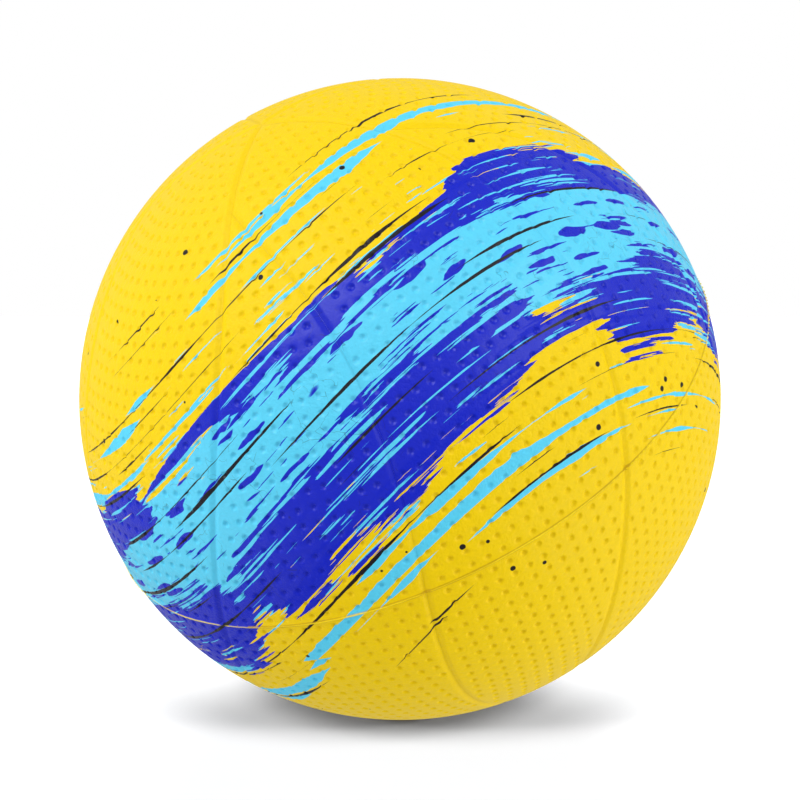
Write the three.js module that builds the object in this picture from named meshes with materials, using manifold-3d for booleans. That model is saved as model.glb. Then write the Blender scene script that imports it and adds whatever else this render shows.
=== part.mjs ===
// Volleyball with a moulded rubber cover, in millimetres and degrees, with +Z up.
// The middle of the ball is the origin, the valve looks along +Y, and the ball stands on its lowest point.
//
// The cover is ten panels of one shape. The mould's axis leans away from upright, and latitude and longitude
// below are those of the mould: latitude 0 is its parting line. Swept seams and bowed seams take turns round
// the parting line, and each pair meets in a point before it reaches a pole.
import * as THREE from "three";
import { mergeVertices } from "three/addons/utils/BufferGeometryUtils.js";
import Module from "manifold-3d";

const wasm = await Module();
wasm.setup();

// Ball and its layers
const BALL_RADIUS = 105;
const COVER_WALL = 1.6;
const GUM_WALL = 0.6;
const WINDING_WALL = 0.6;
const BLADDER_WALL = 0.8;
const LAYER_GAP = 0.3;

// Grooves between the panels
const SEAM_GAP = 0.3;
const GROOVE_WIDTH = 4.4;
const GROOVE_DEPTH = 0.8;
const SHOULDER_SHARE = 0.65;

// Layout of the seams
const PANEL_PAIRS = 5;
const POLE_LATITUDE = 90;
const MEETING_LATITUDE = 67;
const SEAM_BOW_ANGLE = 4.5;
const SEAM_HOOK = 6;

// How the mould's axis lies in the standing ball
const AXIS_LEAN = 35.3;
const AXIS_BEARING = -133;
const AXIS_TURN = 41.4;

// Valve
const NECK_DIAMETER = 11;
const FLANGE_DIAMETER = 30;
const FLANGE_WALL = 1.2;
const BARREL_DEPTH = 18;
const BARREL_FLOOR = 2;
const CORE_HEAD_DIAMETER = 7;
const CORE_HEAD_HEIGHT = 1.4;
const CORE_SHANK_DIAMETER = 4.8;
const CORE_RECESS = 0.2;
const NEEDLE_DIAMETER = 1.6;
const NEEDLE_MOUTH_DIAMETER = 2.6;
const NEEDLE_MOUTH_DEPTH = 0.9;
const NEEDLE_DEPTH = 12;
const VALVE_CLEARANCE = 0.3;

// Fineness of the curved faces
const PANEL_ROWS = 24;
const PANEL_COLUMNS = 5;
const SHOULDER_STEPS = 2;
const SHELL_DETAIL = 5;
const ICOSAHEDRON_EDGE_ANGLE = 63.4;
const SHELL_STRETCH = 1.2;
const ROUND_SIDES = 32;

// Working precision, in millimetres and degrees
const WELD_DISTANCE = 1e-4;
const SLOPE_STEP = 0.01;
const POINT_PRECISION = 1e-7;

const RAD = Math.PI / 180;
const HALF_PITCH = 180 / PANEL_PAIRS / 2;

// Longitude of a seam, counted from where it crosses the parting line
function sweptSeam(latitude) {
  const share = THREE.MathUtils.clamp(latitude / MEETING_LATITUDE, -1, 1);
  return HALF_PITCH * Math.sin(90 * RAD * share);
}

function bowedSeam(latitude) {
  const share = THREE.MathUtils.clamp(latitude / MEETING_LATITUDE, -1, 1);
  const hook = HALF_PITCH * Math.sign(share) * Math.abs(share) ** SEAM_HOOK;
  return SEAM_BOW_ANGLE * Math.sin(180 * RAD * share) - hook;
}

// One panel lies between a swept seam and the next bowed seam. Each side gives its longitude at a latitude.
const panelSides = [
  (latitude) => 2 * HALF_PITCH + sweptSeam(latitude),
  (latitude) => 4 * HALF_PITCH + bowedSeam(latitude),
];

function onSphere(latitude, longitude, radius) {
  const across = radius * Math.cos(latitude * RAD);
  return new THREE.Vector3(
    across * Math.cos(longitude * RAD),
    across * Math.sin(longitude * RAD),
    radius * Math.sin(latitude * RAD),
  );
}

// How much longer the way from a seam is along a parallel than square to the seam
function slant(side, latitude) {
  const turn = (side(latitude + SLOPE_STEP) - side(latitude - SLOPE_STEP)) / (2 * SLOPE_STEP);
  return Math.hypot(1, turn * Math.cos(latitude * RAD));
}

function rowAt(latitude) {
  const perDegree = BALL_RADIUS * Math.cos(latitude * RAD) * RAD;
  const [left, right] = panelSides.map((side) => side(latitude));
  const [leftSlant, rightSlant] = panelSides.map((side) => slant(side, latitude));
  return { latitude, perDegree, left, leftSlant, rightSlant, width: (right - left) * perDegree };
}

// What is left of a row's width once the gap to both neighbours is taken off
function clearWidth(latitude) {
  const row = rowAt(latitude);
  return row.width - (SEAM_GAP / 2) * (row.leftSlant + row.rightSlant);
}

// Latitude of a panel's point, between one inside the panel and one past its end
function pointLatitude(inside, outside) {
  let near = inside;
  let far = outside;
  while (Math.abs(far - near) > POINT_PRECISION) {
    const middle = (near + far) / 2;
    if (clearWidth(middle) > 0) near = middle;
    else far = middle;
  }
  return near;
}

// Depth of the groove's shoulder at a distance from the seam
function shoulderDepth(distance) {
  const share = (distance - SEAM_GAP / 2) / (GROOVE_WIDTH / 2 - SEAM_GAP / 2);
  return GROOVE_DEPTH * (1 - THREE.MathUtils.smoothstep(share, 0, 1));
}

// Distances from the left seam, along the parallel, of a row's points
function rowStations(row, steps) {
  const shoulder = GROOVE_WIDTH / 2 - SEAM_GAP / 2;
  const leftEdge = (SEAM_GAP / 2) * row.leftSlant;
  const rightEdge = row.width - (SEAM_GAP / 2) * row.rightSlant;
  const room = rightEdge - leftEdge;
  const squeeze = Math.min(1, (SHOULDER_SHARE * room) / (shoulder * (row.leftSlant + row.rightSlant)));
  const leftEnd = steps ? leftEdge + shoulder * row.leftSlant * squeeze : leftEdge;
  const rightEnd = steps ? rightEdge - shoulder * row.rightSlant * squeeze : rightEdge;
  const stations = [];
  for (let i = 0; i < steps; i += 1) stations.push(THREE.MathUtils.lerp(leftEdge, leftEnd, i / steps));
  for (let i = 0; i <= PANEL_COLUMNS; i += 1) {
    stations.push(THREE.MathUtils.lerp(leftEnd, rightEnd, i / PANEL_COLUMNS));
  }
  for (let i = 1; i <= steps; i += 1) stations.push(THREE.MathUtils.lerp(rightEnd, rightEdge, i / steps));
  return stations;
}

function outerPoint(row, station) {
  const fromLeft = station / row.leftSlant;
  const fromRight = (row.width - station) / row.rightSlant;
  const radius = BALL_RADIUS - shoulderDepth(Math.min(fromLeft, fromRight));
  return onSphere(row.latitude, row.left + station / row.perDegree, radius);
}

function innerPoint(row, station) {
  return onSphere(row.latitude, row.left + station / row.perDegree, BALL_RADIUS - COVER_WALL);
}

// Two faces over a sheet of rows that ends in a point at both ends
function sheetFaces(first, rows, columns, foot, tip, flip) {
  const faces = [];
  const add = (a, b, c) => faces.push(...(flip ? [a, c, b] : [a, b, c]));
  const at = (r, c) => first + r * columns + c;
  for (let c = 0; c + 1 < columns; c += 1) {
    add(foot, at(0, c + 1), at(0, c));
    add(tip, at(rows - 1, c), at(rows - 1, c + 1));
    for (let r = 0; r + 1 < rows; r += 1) {
      add(at(r, c), at(r, c + 1), at(r + 1, c + 1));
      add(at(r, c), at(r + 1, c + 1), at(r + 1, c));
    }
  }
  return faces;
}

// The panel: its dressed outside, its plain inside, and the narrow wall between them all the way round
function panelGeometry() {
  const footLatitude = pointLatitude(0, -POLE_LATITUDE);
  const tipLatitude = pointLatitude(0, MEETING_LATITUDE);
  const rows = [];
  for (let i = 1; i <= PANEL_ROWS; i += 1) {
    rows.push(rowAt(THREE.MathUtils.lerp(footLatitude, tipLatitude, i / (PANEL_ROWS + 1))));
  }
  const points = [];
  const stationsOutside = PANEL_COLUMNS + 1 + 2 * SHOULDER_STEPS;
  const stationsInside = PANEL_COLUMNS + 1;
  rows.forEach((row) => rowStations(row, SHOULDER_STEPS).forEach((s) => points.push(outerPoint(row, s))));
  rows.forEach((row) => rowStations(row, 0).forEach((s) => points.push(innerPoint(row, s))));
  const inside = PANEL_ROWS * stationsOutside;
  const ends = points.length;
  for (const latitude of [footLatitude, tipLatitude]) {
    const row = rowAt(latitude);
    points.push(outerPoint(row, row.width / 2), innerPoint(row, row.width / 2));
  }
  const [footOut, footIn, tipOut, tipIn] = [ends, ends + 1, ends + 2, ends + 3];
  const faces = [
    ...sheetFaces(0, PANEL_ROWS, stationsOutside, footOut, tipOut, false),
    ...sheetFaces(inside, PANEL_ROWS, stationsInside, footIn, tipIn, true),
  ];
  for (const right of [false, true]) {
    const outRow = (r) => r * stationsOutside + (right ? stationsOutside - 1 : 0);
    const inRow = (r) => inside + r * stationsInside + (right ? stationsInside - 1 : 0);
    const out = [footOut, ...rows.map((_, r) => outRow(r)), tipOut];
    const inn = [footIn, ...rows.map((_, r) => inRow(r)), tipIn];
    for (let i = 0; i + 1 < out.length; i += 1) {
      const wall = [out[i], inn[i], inn[i + 1], out[i], inn[i + 1], out[i + 1]];
      if (right) faces.push(...wall);
      else faces.push(wall[0], wall[2], wall[1], wall[3], wall[5], wall[4]);
    }
  }
  const geometry = new THREE.BufferGeometry();
  geometry.setAttribute("position", new THREE.Float32BufferAttribute(points.flatMap((p) => p.toArray()), 3));
  geometry.setIndex(faces);
  return geometry;
}

// Solids that are cut or joined
function solidFrom(geometry) {
  const bare = geometry.clone();
  bare.deleteAttribute("normal");
  bare.deleteAttribute("uv");
  const merged = mergeVertices(bare, WELD_DISTANCE);
  return new wasm.Manifold(new wasm.Mesh({
    numProp: 3,
    vertProperties: new Float32Array(merged.attributes.position.array),
    triVerts: new Uint32Array(merged.index.array),
  }));
}

function geometryFrom(solid) {
  const mesh = solid.getMesh();
  const geometry = new THREE.BufferGeometry();
  geometry.setAttribute("position", new THREE.BufferAttribute(mesh.vertProperties, 3));
  geometry.setIndex(new THREE.BufferAttribute(mesh.triVerts, 1));
  return geometry;
}

// A turned shape about the valve's axis, from [radius, height] pairs with the height along +Y
function turned(profile) {
  return new THREE.LatheGeometry(profile.map(([r, y]) => new THREE.Vector2(r, y)), ROUND_SIDES);
}

function rodAlongValve(diameter, from, to) {
  return turned([[0, from], [diameter / 2, from], [diameter / 2, to], [0, to]]);
}

// Flat faces cut the corner of a curve: how far a face's middle lies inside the sphere its corners are on,
// for corners this many degrees from the middle
function faceDip(degrees) {
  return BALL_RADIUS * (1 - Math.cos(degrees * RAD));
}

const rowPitch = (POLE_LATITUDE + MEETING_LATITUDE) / (PANEL_ROWS + 1);
const columnPitch = (2 * HALF_PITCH) / PANEL_COLUMNS;
const panelDip = faceDip(Math.hypot(rowPitch, columnPitch) / 2);
const shellDip = faceDip((SHELL_STRETCH * ICOSAHEDRON_EDGE_ANGLE) / (SHELL_DETAIL + 1) / Math.sqrt(3));

// Each layer lies under the one before it
const gumRadius = BALL_RADIUS - COVER_WALL - panelDip - LAYER_GAP;
const windingRadius = gumRadius - GUM_WALL - LAYER_GAP;
const bladderRadius = windingRadius - WINDING_WALL - LAYER_GAP;
const flangeRadius = bladderRadius - BLADDER_WALL - shellDip - LAYER_GAP;

// The hole that the neck goes through, from inside the bladder to past the cover
const valveHole = solidFrom(rodAlongValve(NECK_DIAMETER + 2 * VALVE_CLEARANCE, 0, 2 * BALL_RADIUS));

// A hollow layer, open only where the valve's neck goes through it
function layerGeometry(radius, wall) {
  const outside = solidFrom(new THREE.IcosahedronGeometry(radius, SHELL_DETAIL));
  const hollow = solidFrom(new THREE.IcosahedronGeometry(radius - wall, SHELL_DETAIL));
  return geometryFrom(outside.subtract(hollow).subtract(valveHole));
}

// Height of the flange's domed faces at a distance from the valve's axis
function domeHeight(radius, distance) {
  return Math.sqrt(radius ** 2 - distance ** 2);
}

// Valve body: a neck up to the cover's face, a domed flange inside the bladder, and a barrel below it
function valveBodyGeometry() {
  const neck = NECK_DIAMETER / 2;
  const rim = FLANGE_DIAMETER / 2;
  const underside = flangeRadius - FLANGE_WALL;
  const barrelEnd = underside - BARREL_DEPTH;
  const headRoom = CORE_HEAD_DIAMETER / 2 + VALVE_CLEARANCE;
  const shankRoom = CORE_SHANK_DIAMETER / 2 + VALVE_CLEARANCE;
  const seat = BALL_RADIUS - CORE_RECESS - CORE_HEAD_HEIGHT - VALVE_CLEARANCE;
  const middle = (neck + rim) / 2;
  return turned([
    [0, barrelEnd],
    [neck, barrelEnd],
    [neck, domeHeight(underside, neck)],
    [middle, domeHeight(underside, middle)],
    [rim, domeHeight(underside, rim)],
    [rim, domeHeight(flangeRadius, rim)],
    [middle, domeHeight(flangeRadius, middle)],
    [neck, domeHeight(flangeRadius, neck)],
    [neck, BALL_RADIUS],
    [headRoom, BALL_RADIUS],
    [headRoom, seat],
    [shankRoom, seat],
    [shankRoom, barrelEnd + BARREL_FLOOR],
    [0, barrelEnd + BARREL_FLOOR],
  ]);
}

// Valve core: a plug with a head, and a blind channel for the pump's needle
function valveCoreGeometry() {
  const face = BALL_RADIUS - CORE_RECESS;
  const shankEnd = flangeRadius - FLANGE_WALL - BARREL_DEPTH + BARREL_FLOOR + VALVE_CLEARANCE;
  const head = CORE_HEAD_DIAMETER / 2;
  const shank = CORE_SHANK_DIAMETER / 2;
  const needle = NEEDLE_DIAMETER / 2;
  return turned([
    [0, shankEnd],
    [shank, shankEnd],
    [shank, face - CORE_HEAD_HEIGHT],
    [head, face - CORE_HEAD_HEIGHT],
    [head, face],
    [NEEDLE_MOUTH_DIAMETER / 2, face],
    [needle, face - NEEDLE_MOUTH_DEPTH],
    [needle, face - NEEDLE_DEPTH],
    [0, face - NEEDLE_DEPTH],
  ]);
}

const yellowRubber = { color: 0xffdc1c, roughness: 0.55, metalness: 0 };
const gumRubber = { color: 0xc9a468, roughness: 0.7, metalness: 0 };
const nylonThread = { color: 0xe9e6dc, roughness: 0.6, metalness: 0 };
const blackButyl = { color: 0x1b1b1d, roughness: 0.6, metalness: 0 };
const greyRubber = { color: 0x2a2a2c, roughness: 0.5, metalness: 0 };

function piece(name, geometry, finish) {
  const mesh = new THREE.Mesh(geometry, new THREE.MeshStandardMaterial(finish));
  mesh.name = name;
  return mesh;
}

// The mould's axis in the standing ball: turned about itself, leaned over, and swung round
const mould = new THREE.Group();
mould.quaternion
  .multiply(turnAbout(0, 0, 1, AXIS_BEARING))
  .multiply(turnAbout(0, 1, 0, AXIS_LEAN))
  .multiply(turnAbout(0, 0, 1, AXIS_TURN));

// The panels go round the mould's axis in turn, one point up and the next point down
const panel = solidFrom(panelGeometry());
const valveWay = new THREE.Vector3(0, 1, 0).applyQuaternion(mould.quaternion.clone().invert());

function turnAbout(x, y, z, degrees) {
  return new THREE.Quaternion().setFromAxisAngle(new THREE.Vector3(x, y, z), degrees * RAD);
}

function panelTurn(place, pointsDown) {
  const turn = turnAbout(0, 0, 1, place * 4 * HALF_PITCH);
  return pointsDown ? turn.multiply(turnAbout(1, 0, 0, 180)) : turn;
}

// Whether the valve comes out between a panel's two sides
function holdsValve(turn) {
  const way = valveWay.clone().applyQuaternion(turn.clone().invert());
  const latitude = Math.asin(way.z) / RAD;
  const [left, right] = panelSides.map((side) => side(latitude));
  const longitude = THREE.MathUtils.euclideanModulo(Math.atan2(way.y, way.x) / RAD - left, 360);
  return longitude < right - left;
}

// A panel in its place, with the valve's hole through it where the two meet
function placedPanel(name, turn) {
  const back = mould.quaternion.clone().multiply(turn).invert();
  const hole = solidFrom(geometryFrom(valveHole).applyQuaternion(back));
  const mesh = piece(name, geometryFrom(panel.subtract(hole)), yellowRubber);
  mesh.quaternion.copy(turn);
  return mesh;
}

const turns = [];
for (let place = 0; place < PANEL_PAIRS; place += 1) {
  turns.push(panelTurn(place, true), panelTurn(place, false));
}
const valvePlace = turns.findIndex(holdsValve);
turns.forEach((turn, index) => {
  const number = (index - valvePlace + turns.length) % turns.length;
  mould.add(placedPanel(number ? `cover_panel_${number}` : "valve_panel", turn));
});

const volleyball = new THREE.Group();
volleyball.add(
  mould,
  piece("gum_layer", layerGeometry(gumRadius, GUM_WALL), gumRubber),
  piece("nylon_winding", layerGeometry(windingRadius, WINDING_WALL), nylonThread),
  piece("bladder", layerGeometry(bladderRadius, BLADDER_WALL), blackButyl),
  piece("valve_body", valveBodyGeometry(), greyRubber),
  piece("valve_core", valveCoreGeometry(), greyRubber),
);

export default volleyball;
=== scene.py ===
import math

import bpy
import numpy as np
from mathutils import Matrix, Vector
from mathutils.geometry import delaunay_2d_cdt


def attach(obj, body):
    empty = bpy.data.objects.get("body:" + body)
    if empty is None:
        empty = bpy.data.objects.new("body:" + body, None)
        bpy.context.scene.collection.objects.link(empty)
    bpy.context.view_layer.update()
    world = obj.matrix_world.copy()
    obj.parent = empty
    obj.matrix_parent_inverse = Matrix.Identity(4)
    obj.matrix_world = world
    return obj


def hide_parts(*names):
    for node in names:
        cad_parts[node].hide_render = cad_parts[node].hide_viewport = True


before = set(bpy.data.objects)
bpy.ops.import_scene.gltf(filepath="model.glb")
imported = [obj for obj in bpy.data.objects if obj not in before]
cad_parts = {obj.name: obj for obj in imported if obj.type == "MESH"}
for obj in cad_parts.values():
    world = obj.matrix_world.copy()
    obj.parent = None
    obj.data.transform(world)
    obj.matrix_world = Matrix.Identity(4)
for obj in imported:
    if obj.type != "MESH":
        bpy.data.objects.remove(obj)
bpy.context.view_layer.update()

# The ball's sizes in millimetres, as its solids have them. Latitudes, seams and turns are in degrees of the
# mould, and the seam's hook is the power that bends a bowed seam's ends.
MM = 0.001
BALL_RADIUS = 105.0
COVER_WALL = 1.6
PANEL_PAIRS = 5
MEETING_LATITUDE = 67.0
SEAM_BOW_ANGLE = 4.5
SEAM_HOOK = 6
AXIS_LEAN = 35.3
AXIS_BEARING = -133.0
AXIS_TURN = 41.4
NECK_RADIUS = 5.5
FLANGE_RADIUS = 15.0
FLANGE_TOP = 98.98
FLANGE_UNDERSIDE = 97.78
BARREL_END = 79.78
BARREL_FLOOR = 2.0
SEAT_RADIUS = 3.8
SEAT_HEIGHT = 103.1
BORE_RADIUS = 2.7
CORE_HEAD_RADIUS = 3.5
CORE_HEAD_HEIGHT = 1.4
CORE_SHANK_RADIUS = 2.4
CORE_RECESS = 0.2
NEEDLE_RADIUS = 0.8
NEEDLE_MOUTH_RADIUS = 1.3
NEEDLE_MOUTH_DEPTH = 0.9
NEEDLE_DEPTH = 12.0
VALVE_CLEARANCE = 0.3

# Rings moulded down the valve core's shank, so that it grips its bore
GRIP_RING_PITCH = 2.2
GRIP_RING_DEPTH = 0.3

# Neighbouring panels are bonded at the bottom of the groove, so almost no gap shows there. The groove is a
# little tighter than between the solids, which leave room there for their gap.
BOND_GAP = 0.04
GROOVE_WIDTH = 3.6
GROOVE_DEPTH = 0.6

# Dimples stand in rows round the mould, and in columns either side of a panel's middle. The step is in
# degrees, and each dimple is meshed in rings of vertices, given as radius and count.
DIMPLE_STEP = 2.5
DIMPLE_RINGS = ((0.40, 8), (0.66, 16), (0.88, 16), (1.11, 16), (1.40, 16))
DIMPLE_FLOOR = 0.3
DIMPLE_LIP = 1.28
DIMPLE_DEPTH = 0.55
DIMPLE_FROM_SEAM = 2.3
DIMPLE_FROM_VALVE = 8.4

# Thin line of rubber squeezed out where the mould parts
FLASH_HEIGHT = 0.6
FLASH_WIDTH = 0.3
FLASH_BEAD = 2.2

# The cover dips a little round the valve's neck
RIM_DEPTH = 0.25
RIM_INSIDE = 5.8
RIM_OUTSIDE = 6.4

# Lines and rings of vertices where a panel's mesh is finer, and how far apart the sets of vertices stay
SEAM_POINTS = 460
SHOULDER_LINES = (0.35, 0.75, 1.15, 1.6, 2.1, 2.7)
FLASH_LINES = (0, 0.09, 0.19, 0.32, 0.5)
FLASH_POINT_STEP = 0.2
VALVE_RINGS = (6.05, 6.4, 6.9, 7.6)
VALVE_REACH = 8.0
HOLE_SIDES = 72
LINE_CLEARANCE = 0.12
SHOULDER_FROM_DIMPLE = 0.22
SHOULDER_FROM_PARTING = 0.7
LATTICE_FROM_DIMPLE = 0.3
LATTICE_FROM_PARTING = 0.9
LATTICE_FROM_SEAM = 3.2
INSIDE_FROM_SEAM = 2.0

# Sides of a turned shape, and how many vertices are measured at a time
TURNED_SIDES = 96
ROWS_AT_A_TIME = 2000

# In degrees of longitude: half a panel's pitch, the panel's middle, and the furthest it can reach from there
HALF_PITCH = 180 / PANEL_PAIRS / 2
MIDDLE = 3 * HALF_PITCH
PANEL_REACH = 60

# Millimetres to a degree of latitude
PER_DEGREE = math.radians(BALL_RADIUS)


# Layout of the cover

def swept_seam(latitude):
    share = np.clip(latitude / MEETING_LATITUDE, -1, 1)
    return HALF_PITCH * np.sin(math.pi / 2 * share)


def bowed_seam(latitude):
    share = np.clip(latitude / MEETING_LATITUDE, -1, 1)
    return SEAM_BOW_ANGLE * np.sin(math.pi * share) - HALF_PITCH * np.sign(share) * np.abs(share) ** SEAM_HOOK


def left_seam(latitude):
    return 2 * HALF_PITCH + swept_seam(latitude)


def right_seam(latitude):
    return 4 * HALF_PITCH + bowed_seam(latitude)


def along_parallel(latitude):
    """Millimetres to a degree of longitude."""
    return PER_DEGREE * np.cos(np.radians(latitude))


def slant(seam, latitude):
    """How much longer the way to a seam is along a parallel than square to the seam."""
    turn = (seam(latitude + 0.01) - seam(latitude - 0.01)) / 0.02
    return np.hypot(1, turn * np.cos(np.radians(latitude)))


def seam_distances(latitude, longitude):
    from_left = (longitude - left_seam(latitude)) * along_parallel(latitude) / slant(left_seam, latitude)
    from_right = (right_seam(latitude) - longitude) * along_parallel(latitude) / slant(right_seam, latitude)
    return from_left, from_right


def spare_width(latitude):
    across = (right_seam(latitude) - left_seam(latitude)) * along_parallel(latitude)
    return across - BOND_GAP / 2 * (slant(left_seam, latitude) + slant(right_seam, latitude))


def point_latitude(inside, outside):
    """Where a panel comes to its point, between a latitude inside it and one past its end."""
    while abs(outside - inside) > 1e-7:
        middle = (inside + outside) / 2
        if spare_width(middle) > 0:
            inside = middle
        else:
            outside = middle
    return inside


def smooth(low, high, value):
    share = np.clip((value - low) / (high - low), 0, 1)
    return share * share * (3 - 2 * share)


def turn_about_z(degrees):
    c, s = math.cos(math.radians(degrees)), math.sin(math.radians(degrees))
    return np.array([[c, -s, 0], [s, c, 0], [0, 0, 1]])


def turn_about_y(degrees):
    c, s = math.cos(math.radians(degrees)), math.sin(math.radians(degrees))
    return np.array([[c, 0, s], [0, 1, 0], [-s, 0, c]])


MOULD = turn_about_z(AXIS_BEARING) @ turn_about_y(AXIS_LEAN) @ turn_about_z(AXIS_TURN)
UPSIDE_DOWN = np.diag([1.0, -1.0, -1.0])


def panel_turns():
    """Turns that put the one panel shape in its ten places, point up and point down in turn."""
    turns = []
    for place in range(PANEL_PAIRS):
        turn = turn_about_z(place * 4 * HALF_PITCH)
        turns += [turn @ UPSIDE_DOWN, turn]
    return turns


def on_ball(latitude, longitude):
    """Direction from the ball's middle."""
    la, lo = np.radians(latitude), np.radians(longitude)
    return np.stack([np.cos(la) * np.cos(lo), np.cos(la) * np.sin(lo), np.sin(la)], -1)


def mould_place(direction):
    """Latitude and longitude, the longitude counted from just left of the panel."""
    latitude = np.degrees(np.arcsin(np.clip(direction[..., 2], -1, 1)))
    longitude = np.degrees(np.arctan2(direction[..., 1], direction[..., 0]))
    return latitude, (longitude - MIDDLE + 180) % 360 + MIDDLE - 180


def holds_valve(turn):
    latitude, longitude = mould_place(np.array([0.0, 1.0, 0.0]) @ MOULD @ turn)
    return bool(left_seam(latitude) < longitude < right_seam(latitude))


# Cover panels

def seam_lines():
    """Points along both seams: the panel's edge, and lines down the groove's shoulder to the plain rubber."""
    foot, tip = point_latitude(0.0, -90.0), point_latitude(0.0, MEETING_LATITUDE)
    latitude = np.linspace(foot, tip, SEAM_POINTS)[1:-1]
    edge, lines = {}, []
    for side, seam, way in (("left", left_seam, 1), ("right", right_seam, -1)):
        for distance in (BOND_GAP / 2, *SHOULDER_LINES):
            longitude = seam(latitude) + way * distance * slant(seam, latitude) / along_parallel(latitude)
            line = np.stack([latitude, longitude], -1)
            if distance == BOND_GAP / 2:
                edge[side] = line
                continue
            from_left, from_right = seam_distances(latitude, longitude)
            own, other = (from_left, from_right) if way > 0 else (from_right, from_left)
            lines.append(line[other > own + LINE_CLEARANCE])
    ends = [np.array([[at, (left_seam(at) + right_seam(at)) / 2]]) for at in (foot, tip)]
    loop = np.concatenate([ends[0], edge["right"], ends[1], edge["left"][::-1]])
    return loop, np.concatenate(lines)


def dimple_centres(valve):
    """Latitude and longitude of a panel's dimples, which stop short of the grooves and the valve."""
    found = []
    rows = np.arange(-36, 27) + 0.5
    for row in rows * DIMPLE_STEP:
        columns = np.arange(-16, 17) * DIMPLE_STEP
        longitude = MIDDLE + columns / math.cos(math.radians(row))
        from_left, from_right = seam_distances(row, longitude)
        keep = np.minimum(from_left, from_right) > DIMPLE_FROM_SEAM
        keep &= np.abs(longitude - MIDDLE) < PANEL_REACH
        found.append(np.stack([np.full(keep.sum(), row), longitude[keep]], -1))
    found = np.concatenate(found)
    if valve is not None:
        away = BALL_RADIUS * np.arccos(np.clip(on_ball(*found.T) @ valve, -1, 1))
        found = found[away > DIMPLE_FROM_VALVE]
    return found


def ring_round(latitude, longitude, radius, count, start):
    """Points on the ball at a distance, in millimetres, round each given place."""
    middle = on_ball(latitude, longitude)[:, None]
    north = on_ball(latitude + 90, longitude)[:, None]
    east = np.cross(north, middle)
    angle = (np.arange(count) + start) / count * 2 * math.pi
    spread = radius / BALL_RADIUS
    around = east * np.cos(angle)[:, None] + north * np.sin(angle)[:, None]
    return mould_place((middle * math.cos(spread) + around * math.sin(spread)).reshape(-1, 3))


def far_from(points, centres, reach):
    """Which points lie more than a distance, in millimetres, from every one of the places."""
    angle = reach / BALL_RADIUS
    there = on_ball(*centres.T)
    clear = np.ones(len(points), bool)
    for start in range(0, len(points), ROWS_AT_A_TIME):
        part = slice(start, start + ROWS_AT_A_TIME)
        clear[part] = (on_ball(*points[part].T) @ there.T).max(1) < math.cos(angle)
    return clear


def face_points(centres, shoulders, valve):
    """Where the panel's outside has its vertices, apart from its edge."""
    rings = [centres]
    for index, (radius, count) in enumerate(DIMPLE_RINGS):
        rings.append(np.stack(ring_round(*centres.T, radius, count, 0.5 * (index % 2)), -1))
    lattice = []
    for half_row in np.arange(-72, 54):
        latitude = half_row / 2 * DIMPLE_STEP
        columns = (np.arange(-32, 33) / 2 if half_row % 2 == 0 else np.arange(-16, 16) + 0.5) * DIMPLE_STEP
        longitude = MIDDLE + columns / max(math.cos(math.radians(latitude)), 0.02)
        lattice.append(np.stack([np.full(len(longitude), latitude), longitude], -1))
    lattice = np.concatenate(lattice)
    lattice = lattice[np.abs(lattice[:, 1] - MIDDLE) < PANEL_REACH]
    lattice = lattice[np.minimum(*seam_distances(*lattice.T)) > LATTICE_FROM_SEAM]
    flash = []
    for away in FLASH_LINES:
        longitude = np.arange(2 * HALF_PITCH, 4 * HALF_PITCH, FLASH_POINT_STEP)
        for latitude in {away / PER_DEGREE, -away / PER_DEGREE}:
            line = np.stack([np.full(len(longitude), latitude), longitude], -1)
            flash.append(line[np.minimum(*seam_distances(*line.T)) > LINE_CLEARANCE])
    flash = np.concatenate(flash)
    dimple_reach = DIMPLE_RINGS[-1][0]
    shoulders = shoulders[far_from(shoulders, centres, dimple_reach + SHOULDER_FROM_DIMPLE)]
    shoulders = shoulders[np.abs(shoulders[:, 0]) > SHOULDER_FROM_PARTING / PER_DEGREE]
    lattice = lattice[np.abs(lattice[:, 0]) > LATTICE_FROM_PARTING / PER_DEGREE]
    lattice = lattice[far_from(lattice, centres, dimple_reach + LATTICE_FROM_DIMPLE)]
    points = np.concatenate([*rings, lattice, shoulders, flash])
    if valve is not None:
        rim = mould_place(valve[None])
        points = points[far_from(points, np.stack(rim, -1), VALVE_REACH)]
        for index, radius in enumerate(VALVE_RINGS):
            ring = np.stack(ring_round(*rim, radius, HOLE_SIDES, 0.5 * (index % 2)), -1)
            points = np.concatenate([points, ring])
    return points


def laid_flat(points):
    """The panel's face as a flat sheet, for joining its vertices up."""
    return np.stack([(points[:, 1] - MIDDLE) * along_parallel(points[:, 0]), points[:, 0] * PER_DEGREE], -1)


def joined_up(loop, points, hole):
    """Vertices and triangles over a sheet with an edge, points inside it, and perhaps a hole."""
    rings = [loop] if hole is None else [loop, hole]
    everything = np.concatenate([*rings, points])
    edges, start = [], 0
    for ring in rings:
        edges += [(start + i, start + (i + 1) % len(ring)) for i in range(len(ring))]
        start += len(ring)
    flat = [Vector(p) for p in laid_flat(everything)]
    made, _, faces, origin, _, _ = delaunay_2d_cdt(flat, edges, [], 1, 1e-5)
    order = np.array([o[0] for o in origin])
    faces = np.array([f for f in faces if len(f) == 3])
    corners = np.array([tuple(v) for v in made])[faces]
    if hole is not None:
        ring = laid_flat(hole)
        centre = ring.mean(0)
        hole_radius = np.linalg.norm(ring - centre, axis=1).min()
        outside = np.linalg.norm(corners.mean(1) - centre, axis=1) > 0.97 * hole_radius
        faces, corners = faces[outside], corners[outside]
    ab, ac = corners[:, 1] - corners[:, 0], corners[:, 2] - corners[:, 0]
    area = ab[:, 0] * ac[:, 1] - ab[:, 1] * ac[:, 0]
    faces, area = faces[np.abs(area) > 1e-7], area[np.abs(area) > 1e-7]
    faces[area < 0] = faces[area < 0][:, ::-1]
    return everything, order[faces]


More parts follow.
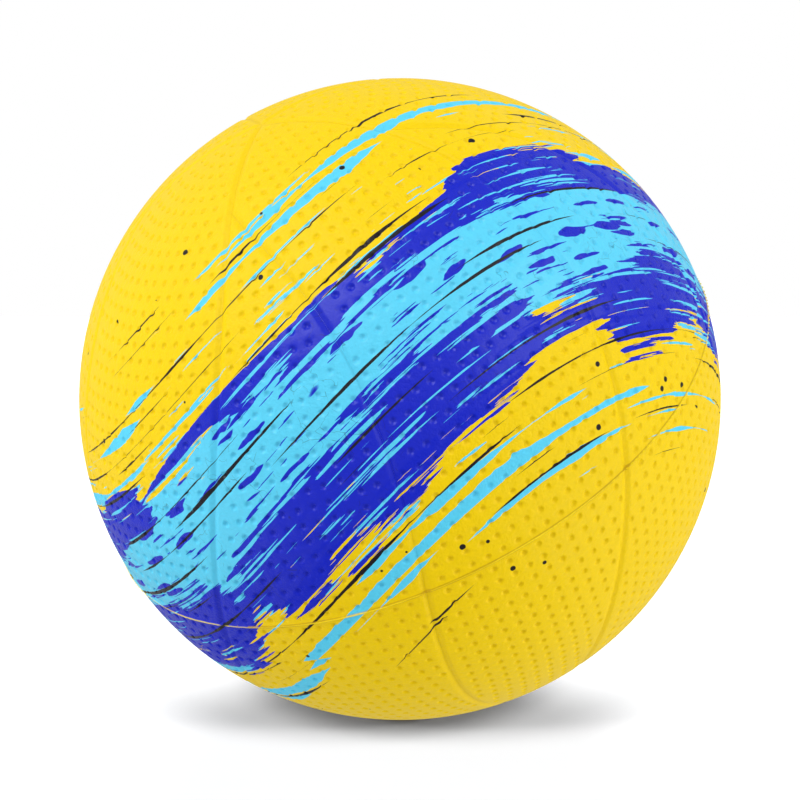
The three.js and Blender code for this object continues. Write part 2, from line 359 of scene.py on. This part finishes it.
def flash_height(from_parting, from_seam, place):
    """Flash that wavers a little, is beaded where the trimmer's knife skipped, and lumps at the grooves."""
    around = np.arctan2(*(place @ MOULD[:, :2]).T) * BALL_RADIUS
    wander = 0.05 * np.sin(around * 0.31) + 0.03 * np.sin(around * 1.3 + 1)
    skipped = smooth(-0.2, 0.7, np.sin(around * 0.023 + 0.4) + 0.35 * np.sin(around * 0.21))
    bead = smooth(-0.1, 0.9, np.sin(around / FLASH_BEAD * math.tau + 2 * np.sin(around * 0.4)))
    height = FLASH_HEIGHT * (0.62 + 0.12 * np.sin(around * 0.11) + 0.55 * skipped * bead)
    height *= 1 + 0.8 * (1 - smooth(0.2, 1.8, from_seam))
    return height * np.exp(-((from_parting - wander) / FLASH_WIDTH) ** 2)


def outer_radius(layout, place):
    """How far out the panel's face lies: its shoulders, its dimples and the flash on its parting line."""
    points, centres, valve = layout.outside, layout.centres, layout.valve
    nearest = np.minimum(*seam_distances(*points.T))
    radius = BALL_RADIUS - GROOVE_DEPTH * (1 - smooth(0, GROOVE_WIDTH / 2, nearest))
    here, there = on_ball(*points.T), on_ball(*centres.T)
    for start in range(0, len(points), ROWS_AT_A_TIME):
        part = slice(start, start + ROWS_AT_A_TIME)
        away = BALL_RADIUS * np.arccos(np.clip((here[part] @ there.T).max(1), -1, 1))
        radius[part] -= DIMPLE_DEPTH * (1 - smooth(DIMPLE_FLOOR, DIMPLE_LIP, away))
    radius += flash_height(points[:, 0] * PER_DEGREE, nearest, place)
    if valve is not None:
        away = BALL_RADIUS * np.arccos(np.clip(here @ valve, -1, 1))
        radius -= RIM_DEPTH * (1 - smooth(RIM_INSIDE, RIM_OUTSIDE, away))
    return radius


class PanelLayout:
    """Where a panel's vertices lie on the ball and how they join up, the same for every plain panel."""

    def __init__(self, valve=None):
        loop, shoulders = seam_lines()
        self.valve = valve
        self.rings = [loop]
        hole = None
        if valve is not None:
            hole_radius = NECK_RADIUS + VALVE_CLEARANCE
            hole = np.stack(ring_round(*mould_place(valve[None]), hole_radius, HOLE_SIDES, 0), -1)
            self.rings.append(hole)
        self.centres = dimple_centres(valve)
        self.outside, self.outer_faces = joined_up(loop, face_points(self.centres, shoulders, valve), hole)
        grid = np.stack(np.meshgrid(np.arange(-88, 66, 3.0), np.arange(20, 90, 4.0)), -1).reshape(-1, 2)
        grid = grid[np.minimum(*seam_distances(*grid.T)) > INSIDE_FROM_SEAM]
        if valve is not None:
            grid = grid[far_from(grid, np.stack(mould_place(valve[None]), -1), VALVE_REACH)]
        self.inside, self.inner_faces = joined_up(loop, grid, hole)

    def walls(self):
        """Faces from the outside's edge down to the inside's, which starts after the outside's vertices."""
        faces, start = [], 0
        for ring in self.rings:
            a = start + np.arange(len(ring))
            b = start + (np.arange(len(ring)) + 1) % len(ring)
            below = len(self.outside)
            faces += [np.stack([a, a + below, b + below], -1), np.stack([a, b + below, b], -1)]
            start += len(ring)
        return np.concatenate(faces)


def panel_mesh(name, layout, turn):
    """A whole panel: face, inside, the wall round its edge, and the wall of the valve's hole."""
    way = MOULD @ turn
    place = on_ball(*layout.outside.T) @ way.T
    face = place * outer_radius(layout, place)[:, None]
    back = on_ball(*layout.inside.T) @ way.T * (BALL_RADIUS - COVER_WALL)
    faces = np.concatenate([
        layout.outer_faces,
        layout.inner_faces[:, ::-1] + len(face),
        layout.walls(),
    ])
    mesh = bpy.data.meshes.new(name)
    mesh.from_pydata(np.concatenate([face, back]) * MM, [], faces.tolist())
    mesh.validate()
    mesh.shade_smooth()
    mesh.set_sharp_from_angle(angle=math.radians(48))
    return mesh


# Valve

def rounded(profile):
    """A profile of (radius, height, fillet) corners, each corner with a fillet turned into an arc."""
    points = []
    for index, (radius, height, fillet) in enumerate(profile):
        here = np.array([radius, height])
        if not fillet:
            points.append(here)
            continue
        before = np.array(profile[index - 1][:2]) - here
        after = np.array(profile[index + 1][:2]) - here
        start = here + before / np.linalg.norm(before) * fillet
        end = here + after / np.linalg.norm(after) * fillet
        for share in np.linspace(0, 1, 6):
            points.append((1 - share) ** 2 * start + 2 * share * (1 - share) * here + share ** 2 * end)
    return np.array(points)


def turned_mesh(name, profile):
    """A shape turned about the valve's axis, from a profile that starts and ends on the axis."""
    points = rounded(profile)
    ends = [np.array([[0, height, 0]]) for height in (points[0][1], points[-1][1])]
    ring = points[1:-1]
    sides = TURNED_SIDES
    angle = np.arange(sides) / sides * 2 * math.pi
    around = np.stack([np.sin(angle), np.zeros(sides), np.cos(angle)], -1)
    body = ring[:, None, :1] * around[None] + np.array([0, 1, 0]) * ring[:, None, 1:]
    count = len(ring)
    vertices = np.concatenate([ends[0], ends[1], body.reshape(-1, 3)])
    last = 2 + (count - 1) * sides
    faces = []
    for side in range(sides):
        after = (side + 1) % sides
        faces.append((0, 2 + after, 2 + side))
        faces.append((1, last + side, last + after))
        for row in range(count - 1):
            a, b = 2 + row * sides, 2 + (row + 1) * sides
            faces.append((a + side, a + after, b + after, b + side))
    mesh = bpy.data.meshes.new(name)
    mesh.from_pydata(vertices * MM, [], faces)
    mesh.validate()
    mesh.shade_smooth()
    mesh.set_sharp_from_angle(angle=math.radians(42))
    return mesh


def dome(radius, distance):
    return math.sqrt(radius ** 2 - distance ** 2)


def valve_body_mesh():
    """Neck up to the cover's face, with a domed flange inside the bladder and a barrel below it."""
    rim, halfway = FLANGE_RADIUS, 10
    return turned_mesh("valve_body_rubber", [
        (0, BARREL_END, 0),
        (NECK_RADIUS, BARREL_END, 0.9),
        (NECK_RADIUS, dome(FLANGE_UNDERSIDE, NECK_RADIUS), 0.5),
        (halfway, dome(FLANGE_UNDERSIDE, halfway), 0),
        (rim, dome(FLANGE_UNDERSIDE, rim), 0.4),
        (rim, dome(FLANGE_TOP, rim), 0.4),
        (halfway, dome(FLANGE_TOP, halfway), 0),
        (NECK_RADIUS, dome(FLANGE_TOP, NECK_RADIUS), 0.5),
        (NECK_RADIUS, BALL_RADIUS, 0.35),
        (SEAT_RADIUS, BALL_RADIUS, 0.25),
        (SEAT_RADIUS, SEAT_HEIGHT, 0.2),
        (BORE_RADIUS, SEAT_HEIGHT, 0.2),
        (BORE_RADIUS, BARREL_END + BARREL_FLOOR, 0.3),
        (0, BARREL_END + BARREL_FLOOR, 0),
    ])


def valve_core_mesh():
    """Plug with a head, grip rings down its shank, and the needle's channel."""
    foot = BARREL_END + BARREL_FLOOR + VALVE_CLEARANCE
    face = BALL_RADIUS - CORE_RECESS
    profile = [(0, foot, 0), (CORE_SHANK_RADIUS, foot, 0.7)]
    waist = CORE_SHANK_RADIUS - GRIP_RING_DEPTH
    for height in np.arange(foot + 2.5, face - CORE_HEAD_HEIGHT - 1.5, GRIP_RING_PITCH):
        profile += [
            (CORE_SHANK_RADIUS, height, 0.12),
            (waist, height + 0.35, 0.12),
            (waist, height + 0.75, 0.12),
            (CORE_SHANK_RADIUS, height + 1.1, 0.12),
        ]
    profile += [
        (CORE_SHANK_RADIUS, face - CORE_HEAD_HEIGHT, 0.2),
        (CORE_HEAD_RADIUS, face - CORE_HEAD_HEIGHT, 0.2),
        (CORE_HEAD_RADIUS, face, 0.3),
        (2.75, face, 0.08),
        (2.6, face - 0.16, 0.05),
        (2.35, face - 0.16, 0.05),
        (2.2, face, 0.08),
        (NEEDLE_MOUTH_RADIUS, face, 0.2),
        (NEEDLE_RADIUS, face - NEEDLE_MOUTH_DEPTH, 0.2),
        (NEEDLE_RADIUS, face - NEEDLE_DEPTH, 0),
        (0, face - NEEDLE_DEPTH, 0),
    ]
    return turned_mesh("valve_core_rubber", profile)


# Finishes

class Wire:
    """A socket of a material's nodes, written as a value, a colour or a vector in an expression."""

    def __init__(self, tree, socket=None):
        self.tree = tree
        self.socket = socket

    def node(self, kind, settings=None, sockets=None, output=0):
        """A new node: its settings first, then a number, colour, vector or wire for each socket."""
        made = self.tree.nodes.new(kind)
        for name, value in (settings or {}).items():
            setattr(made, name, value)
        for name, value in (sockets or {}).items():
            if isinstance(value, Wire):
                self.tree.links.new(value.socket, made.inputs[name])
            else:
                made.inputs[name].default_value = value
        return Wire(self.tree, made.outputs[output])

    def __add__(self, other):
        return maths("ADD", self, other)

    def __radd__(self, other):
        return maths("ADD", other, self)

    def __sub__(self, other):
        return maths("SUBTRACT", self, other)

    def __rsub__(self, other):
        return maths("SUBTRACT", other, self)

    def __mul__(self, other):
        return maths("MULTIPLY", self, other)

    def __rmul__(self, other):
        return maths("MULTIPLY", other, self)

    def __truediv__(self, other):
        return maths("DIVIDE", self, other)

    def __rtruediv__(self, other):
        return maths("DIVIDE", other, self)

    def __abs__(self):
        return maths("ABSOLUTE", self)


def first_wire(values):
    return next(value for value in values if isinstance(value, Wire))


def maths(operation, *values):
    return first_wire(values).node("ShaderNodeMath", {"operation": operation}, dict(enumerate(values)))


def vectors(operation, *values):
    return first_wire(values).node("ShaderNodeVectorMath", {"operation": operation}, dict(enumerate(values)))


def dot(place, way):
    settings, sockets = {"operation": "DOT_PRODUCT"}, {0: place, 1: tuple(way)}
    return place.node("ShaderNodeVectorMath", settings, sockets, "Value")


def length_of(place):
    return place.node("ShaderNodeVectorMath", {"operation": "LENGTH"}, {0: place}, "Value")


def vector(x, y, z):
    return first_wire((x, y, z)).node("ShaderNodeCombineXYZ", None, {0: x, 1: y, 2: z})


def rise(value, low, high):
    """Nothing at the low end, all at the high end, and soft between."""
    settings = {"interpolation_type": "SMOOTHSTEP"}
    return value.node("ShaderNodeMapRange", settings, {0: value, 1: low, 2: high, 3: 0.0, 4: 1.0})


def noise(place, scale, detail=2.0, roughness=0.5):
    sockets = {"Vector": place, "Scale": scale, "Detail": detail, "Roughness": roughness}
    return place.node("ShaderNodeTexNoise", None, sockets, "Fac")


def cells(place, scale, feature, output):
    sockets = {"Vector": place, "Scale": scale}
    return place.node("ShaderNodeTexVoronoi", {"feature": feature}, sockets, output)


def over(share, under, upper):
    """One colour laid over another."""
    settings = {"data_type": "RGBA"}
    return share.node("ShaderNodeMix", settings, {0: share, 6: under, 7: upper}, 2)


def relief(height, distance, strength=1.0, under=None):
    """A bump of this many metres for a height of one."""
    sockets = {"Height": height, "Distance": distance, "Strength": strength}
    if under is not None:
        sockets["Normal"] = under
    return height.node("ShaderNodeBump", None, sockets)


def finish(name):
    """A new material, the wire that its nodes are made from, and its shader."""
    material = bpy.data.materials.new(name)
    material.use_nodes = True
    shader = material.node_tree.nodes["Principled BSDF"]
    return material, Wire(material.node_tree), shader


def lay_on(shader, **values):
    """Sets the shader's sockets, named with underscores, to numbers, colours or wires."""
    for name, value in values.items():
        socket = shader.inputs[name.replace("_", " ")]
        if isinstance(value, Wire):
            value.tree.links.new(value.socket, socket)
        else:
            socket.default_value = value


# Rubber and inks, the paler thin rubber (partly a painted highlight), and an amber for painted shade
YELLOW = (0.84, 0.585, 0.0006, 1)
CYAN = (0.095, 0.60, 0.85, 1)
NAVY = (0.006, 0.016, 0.51, 1)
INK = (0.012, 0.009, 0.013, 1)
PALE_RUBBER_AND_HIGHLIGHT = (0.96, 0.74, 0.012, 1)
FLASH_FOOT_SHADE = (0.42, 0.23, 0.0006, 1)
PRINT_SHEETS = 7
SHEET_SLIP = 0.08


def stream_ways(slope, lift):
    """Directions that a stream of the print is laid out by: where it faces, along it, and across it."""
    a, b = math.radians(slope), math.radians(lift)
    facing = np.array([0, -math.cos(b), math.sin(b)])
    along = np.array([math.cos(a), math.sin(a) * math.sin(b), math.sin(a) * math.cos(b)])
    return facing, along, np.cross(facing, along)


def print_sheet(sheet, here):
    """The printed sheets were laid on side by side and don't quite meet, so each is moved a little."""
    facing, along, _ = stream_ways(slope=-52, lift=8)
    turn = maths("ARCTAN2", dot(here, along), dot(here, facing))
    gore = maths("FLOOR", turn * (PRINT_SHEETS / math.tau) + 0.30)
    slip = sheet.node("ShaderNodeTexWhiteNoise", {"noise_dimensions": "1D"}, {"W": gore}, "Color")
    slip = vectors("MULTIPLY", vectors("SUBTRACT", slip, (0.5, 0.5, 0.5)), (SHEET_SLIP,) * 3)
    return vectors("NORMALIZE", vectors("ADD", here, slip))


def stream(place, ways, sway, swing, phase):
    """Along and across a stream that sways from side to side as it goes round the ball.

    The first two are the parts of the way along it, as on a circle, and the third is the drift across it.
    """
    facing, along, across = ways
    ahead, aside = dot(place, facing), dot(place, along)
    bend = maths("SINE", maths("ARCTAN2", aside, ahead) * swing + phase) * sway
    drift = maths("ARCSINE", dot(place, across)) - bend
    return ahead, aside, drift


def strokes(ahead, aside, drift, length, fineness, detail=3.0):
    """Brush marks drawn out along a stream."""
    return noise(vector(ahead * length, aside * length, drift * fineness), 1.0, detail, 0.55)


def band(drift, middle, half, marks, ragged, dry=0.0):
    """Where a brushed band has ink: all of its middle, and torn to strokes at its edges."""
    depth = 1.0 - abs(drift - middle) / half
    return rise(depth + (marks - 0.5) * ragged - dry, 0.0, 0.006)


def speed_lines(ahead, aside, drift, apart, length, width, seed):
    """Long thin lines that follow a stream, each broken up and tapering in its own way."""
    lane = maths("FLOOR", drift / apart + seed)
    stray = lane.node("ShaderNodeTexWhiteNoise", {"noise_dimensions": "1D"}, {"W": lane + seed})
    middle = (drift / apart + seed) - lane - 0.5 - (stray - 0.5) * 0.5
    along = noise(vector(ahead * length, aside * length, lane * 3.7 + seed), 1.0, 2.0, 0.6)
    rough = noise(vector(ahead * 24, aside * 24, drift * 40), 1.0, 1.0)
    half = rise(along, 0.5, 0.72) * width / apart * (0.6 + 0.8 * rough)
    return rise(half - abs(middle), 0.02, 0.03)


def flecks(ahead, aside, drift, length, fineness, size):
    """Leaf-shaped marks drawn out along a stream, of many sizes."""
    wander = noise(vector(ahead * 9, aside * 9, drift * 26), 1.0, 2.0)
    at = vector(ahead * length, aside * length, drift * fineness + wander * 1.2)
    return rise(size - cells(at, 1.0, "F1", "Distance"), 0.01, 0.03)


def droplets(place, scale, size, seed):
    """Round spots scattered at random, most cells having none."""
    at = vectors("ADD", place, (seed, seed * 0.7, seed * 1.3))
    chance = cells(at, scale, "F1", "Color")
    pick = rise(dot(chance, (1, 0, 0)), 0.55, 0.95)
    return rise(pick * size - cells(at, scale, "F1", "Distance"), 0.005, 0.02)


def film_creases(place):
    """Hair-thin creases, in a few patches, where the printed film folded in the mould."""
    wander = noise(place, 18, 2.0) * 0.09
    at = vectors("ADD", place, vector(wander, wander * 0.6, wander * -0.8))
    hair = 1.0 - rise(cells(at, 16.0, "DISTANCE_TO_EDGE", "Distance"), 0.0, 0.014)
    return hair * rise(noise(place, 5.5, 1.0), 0.52, 0.55) * rise(noise(place, 30, 1.0), 0.48, 0.52)


def printed_rubber():
    material, sheet, shader = finish("printed_rubber")
    here = sheet.node("ShaderNodeTexCoord", None, None, "Object")
    place = print_sheet(sheet, vectors("NORMALIZE", here))

    ways = stream_ways(slope=24, lift=6)
    ahead, aside, drift = stream(place, ways, sway=0.20, swing=2.0, phase=0.5)
    broad = strokes(ahead, aside, drift, length=1.6, fineness=26)
    fine = strokes(ahead, aside, drift, length=3.4, fineness=60)
    slits = strokes(ahead, aside, drift, length=2.6, fineness=90, detail=2.0)
    patchy = noise(vector(ahead, aside, drift * 0.7), 2.2, 1.0)
    dry = rise(patchy, 0.45, 0.62)

    outer_wash = band(drift, middle=0.02, half=0.40, marks=fine, ragged=3.4, dry=0.62)
    cyan_wash = band(drift, middle=0.01, half=0.28, marks=broad, ragged=2.4, dry=dry * 0.35)
    navy_upper = band(drift, middle=0.22, half=0.11, marks=broad, ragged=2.2, dry=dry * 0.9)
    navy_lower = band(drift, middle=-0.21, half=0.13, marks=fine, ragged=2.4, dry=dry * 0.9)
    navy = maths("MAXIMUM", navy_upper, navy_lower) * (1.0 - rise(slits, 0.62, 0.625))
    core = rise(0.19 - abs(drift - 0.01), 0.0, 0.05)
    leaves = flecks(ahead, aside, drift, length=4.6, fineness=27.0, size=0.27 * core)
    blades = strokes(ahead, aside, drift, length=5.0, fineness=70, detail=2.0)
    grass = rise(blades - 0.3 * (1.0 - core), 0.66, 0.665)
    cyan_lines = speed_lines(ahead, aside, drift, apart=0.05, length=1.7, width=0.026, seed=2.3)
    cyan_lines = cyan_lines * rise(0.60 - abs(drift), 0.0, 0.004)
    ink_lines = speed_lines(ahead, aside, drift, apart=0.042, length=1.3, width=0.0075, seed=7.7)
    ink_lines = ink_lines * rise(0.66 - abs(drift), 0.0, 0.004)
    spot_size = 0.15 * rise(abs(drift), 0.32, 0.36) * rise(0.80 - abs(drift), 0.0, 0.02)
    spots = droplets(place, scale=15.0, size=spot_size, seed=3.1)

    colour = over(maths("MAXIMUM", outer_wash, cyan_lines), YELLOW, CYAN)
    colour = over(cyan_wash, colour, CYAN)
    colour = over(maths("MAXIMUM", navy, maths("MAXIMUM", leaves, grass)), colour, NAVY)
    colour = over(maths("MAXIMUM", ink_lines, spots), colour, INK)

    printed = maths("MAXIMUM", outer_wash, cyan_wash)
    colour = over(film_creases(place) * printed * 0.5, colour, INK)

    # Rubber squeezed thin at the parting line is paler, partly a painted highlight, with painted shade along
    # its foot
    thin = rise(length_of(here), (BALL_RADIUS + 0.12) * MM, (BALL_RADIUS + 0.4) * MM)
    # Painted shade: an amber band either side of the flash's foot stands in for its shadow
    foot = rise(0.6 * MM - abs(dot(here, MOULD[:, 2])), 0.0, 0.3 * MM)
    colour = over(foot * (1.0 - printed) * 0.65, colour, FLASH_FOOT_SHADE)
    # Paler thin rubber on the flash's raised top, partly a painted highlight along it
    colour = over(thin * 0.8, colour, PALE_RUBBER_AND_HIGHLIGHT)

    # Leathery grain shows in every colour
    leather = noise(here, 900, 4.0, 0.68)
    grain = noise(here, 2600, 2.0)
    worn = rise(leather, 0.36, 0.64)
    colour = over(0.05 - 0.05 * worn, colour, INK)
    skin = relief(grain, 0.00005)
    skin = relief(leather, 0.00030, 1.0, skin)
    lay_on(
        shader,
        Base_Color=colour,
        Roughness=0.37 - 0.04 * printed + (leather - 0.5) * 0.3,
        Specular_IOR_Level=0.15,
        Coat_Weight=printed * 0.28,
        Coat_Roughness=0.24,
        Normal=skin,
    )
    return material


def valve_rubber(name, tone, dust):
    """Moulded soft rubber with a little dust in it."""
    material, sheet, shader = finish(name)
    here = sheet.node("ShaderNodeTexCoord", None, None, "Object")
    cloud = noise(here, 420, 4.0)
    speck = noise(here, 3200, 2.0)
    bloom = rise(cloud, 0.45, 0.75) * 0.5 + rise(speck, 0.6, 0.72) * 0.3
    skin = relief(cloud, 0.00006)
    lay_on(
        shader,
        Base_Color=over(bloom, tone, dust),
        Roughness=0.5 + bloom * 0.25,
        Specular_IOR_Level=0.4,
        Normal=relief(speck, 0.00002, 1.0, skin),
    )
    return material


def gum_rubber():
    """Raw gum sheet: mottled tan, with the weave of its liner pressed in."""
    material, sheet, shader = finish("gum_rubber")
    here = sheet.node("ShaderNodeTexCoord", None, None, "Object")
    mottle = noise(here, 60, 4.0)
    liner = maths("SINE", dot(here, (5200, 0, 900))) * maths("SINE", dot(here, (-900, 0, 5200)))
    lay_on(
        shader,
        Base_Color=over(rise(mottle, 0.35, 0.65), (0.50, 0.33, 0.12, 1), (0.66, 0.46, 0.20, 1)),
        Roughness=0.62 + mottle * 0.2,
        Normal=relief(liner * 0.5 + mottle, 0.00008),
    )
    return material


def nylon_thread():
    """Thread wound round and round in every direction, each turn a great circle."""
    material, sheet, shader = finish("nylon_thread")
    here = sheet.node("ShaderNodeTexCoord", None, None, "Object")
    place = vectors("NORMALIZE", here)
    tangle = None
    for turn in range(7):
        lean, swing = math.radians(28 + 19 * turn % 83), math.radians(51.4 * turn)
        pole = (math.sin(lean) * math.cos(swing), math.sin(lean) * math.sin(swing), math.cos(lean))
        side = dot(place, pole)
        lane = noise(place, 3.0 + turn * 0.4, 1.0) * 0.8 + side
        thread = rise(maths("SINE", lane * 210), 0.35, 1.0) * rise(0.55 - abs(side), 0.0, 0.2)
        tangle = thread if tangle is None else maths("MAXIMUM", tangle, thread * (0.85 + 0.02 * turn))
    lay_on(
        shader,
        Base_Color=over(tangle, (0.42, 0.38, 0.30, 1), (0.86, 0.84, 0.78, 1)),
        Roughness=0.75 - tangle * 0.25,
        Normal=relief(tangle, 0.0002),
    )
    return material


def butyl_rubber():
    """Black bladder rubber dusted with talc."""
    material, sheet, shader = finish("butyl_rubber")
    here = sheet.node("ShaderNodeTexCoord", None, None, "Object")
    cloud = noise(here, 45, 5.0, 0.6)
    talc = rise(cloud, 0.48, 0.7)
    lay_on(
        shader,
        Base_Color=over(talc * 0.45, (0.012, 0.012, 0.013, 1), (0.55, 0.55, 0.53, 1)),
        Roughness=0.5 + talc * 0.35,
        Normal=relief(noise(here, 900, 3.0), 0.00005),
    )
    return material


def show(name, mesh, body, node, material):
    piece = bpy.data.objects.new(name, mesh)
    bpy.context.scene.collection.objects.link(piece)
    mesh.materials.append(material)
    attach(piece, body)
    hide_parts(node)


rubber = printed_rubber()
turns = panel_turns()
valve_place = [holds_valve(turn) for turn in turns].index(True)
valve_way = np.array([0.0, 1.0, 0.0]) @ MOULD @ turns[valve_place]
plain_layout, valve_layout = PanelLayout(), PanelLayout(valve_way)
for index, turn in enumerate(turns):
    number = (index - valve_place) % len(turns)
    node = f"cover_panel_{number}" if number else "valve_panel"
    mesh = panel_mesh(node, plain_layout if number else valve_layout, turn)
    show(f"{node}_skin", mesh, "ball", node, rubber)

valve_grey = valve_rubber("valve_rubber", (0.030, 0.030, 0.032, 1), (0.16, 0.16, 0.15, 1))
core_grey = valve_rubber("core_rubber", (0.014, 0.014, 0.016, 1), (0.09, 0.09, 0.09, 1))
show("valve_body_rubber", valve_body_mesh(), "ball", "valve_body", valve_grey)
show("valve_core_rubber", valve_core_mesh(), "valve_core", "valve_core", core_grey)
for node, material in (
    ("gum_layer", gum_rubber()),
    ("nylon_winding", nylon_thread()),
    ("bladder", butyl_rubber()),
):
    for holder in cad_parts[node].material_slots:
        holder.material = material


# Floor, light and camera. The camera's distance is in metres and its elevation in degrees, and the half view
# is the tangent of half the angle that it takes in.

ROOM_LIGHT = 0.4
CAMERA_DISTANCE = 0.4515
CAMERA_ELEVATION = 4
HALF_VIEW = 0.298

bpy.ops.mesh.primitive_plane_add(size=30, location=(0, 0, -BALL_RADIUS * MM))
floor = bpy.context.object
floor.name = "studio_floor"
paper, _, paper_shader = finish("white_paper")
lay_on(
    paper_shader,
    Base_Color=(0.05, 0.05, 0.05, 1),
    Roughness=0.9,
    Specular_IOR_Level=0.0,
    Emission_Color=(0.5, 0.65, 1.1, 1),
    Emission_Strength=0.04,
)
floor.data.materials.append(paper)
floor.visible_diffuse = False
floor.visible_glossy = False
floor.visible_shadow = False

# The room is dim around the white backdrop, so that the soft boxes model the dimples
world = bpy.data.worlds.new("studio")
bpy.context.scene.world = world
world.use_nodes = True
backdrop = Wire(world.node_tree).node("ShaderNodeLightPath", None, None, "Is Camera Ray")
lay_on(
    world.node_tree.nodes["Background"],
    Strength=maths("MAXIMUM", backdrop, ROOM_LIGHT),
    Color=(1, 1, 1, 1),
)


def lamp(name, kind, place, strength):
    light = bpy.data.lights.new(name, kind)
    light.energy = strength
    holder = bpy.data.objects.new(name, light)
    holder.location = place
    holder.rotation_mode = "QUATERNION"
    holder.rotation_quaternion = (-Vector(place)).to_track_quat("-Z", "Y")
    bpy.context.scene.collection.objects.link(holder)
    return holder


for name, place, strength, size, shines in (
    ("key_light", (-0.8, -0.8, 1.0), 18.2, 1.34, True),
    ("fill_light", (1.2, -0.9, 0.6), 11.0, 1.44, True),
    ("back_key_light", (0.8, 0.8, 1.0), 9.5, 1.34, False),
    ("back_fill_light", (-1.2, 0.9, 0.6), 8.0, 1.44, False),
    ("low_light_left", (-1.0, -0.2, -0.6), 8.4, 1.26, False),
    ("low_light_right", (1.0, -0.2, -0.6), 10.4, 1.26, False),
):
    soft_box = lamp(name, "AREA", place, strength)
    soft_box.data.shape = "DISK"
    soft_box.data.size = size
    soft_box.visible_glossy = shines

# Only the floor takes these lights, from the front, the sides and behind, which keep it as white as paper
lit = bpy.data.collections.new("lit_by_floor_lights")
lit.objects.link(floor)
for name, place, strength, spread in (
    ("floor_light_left", (-0.40, -0.74, 0.54), 40.7, 19.5),
    ("floor_light_right", (0.40, -0.74, 0.54), 40.7, 19.5),
    ("floor_light_far_left", (-0.76, -0.57, 0.30), 23.3, 6.6),
    ("floor_light_far_right", (0.76, -0.57, 0.30), 23.3, 6.6),
    ("floor_light_back", (0, 0.735, 0.677), 58.8, 39),
):
    floor_light = lamp(name, "SUN", place, strength)
    floor_light.data.angle = math.radians(spread)
    floor_light.light_linking.receiver_collection = lit

camera = bpy.data.cameras.new("camera")
camera.sensor_width = 36
camera.lens = camera.sensor_width / 2 / HALF_VIEW
camera.shift_y = -0.00125
camera.clip_start = 0.01
camera_holder = bpy.data.objects.new("camera", camera)
elevation = math.radians(CAMERA_ELEVATION)
camera_holder.location = (0, -CAMERA_DISTANCE * math.cos(elevation), CAMERA_DISTANCE * math.sin(elevation))
camera_holder.rotation_euler = (math.radians(90 - CAMERA_ELEVATION), 0, 0)
bpy.context.scene.collection.objects.link(camera_holder)
bpy.context.scene.camera = camera_holder
bpy.context.scene.view_settings.view_transform = "Standard"
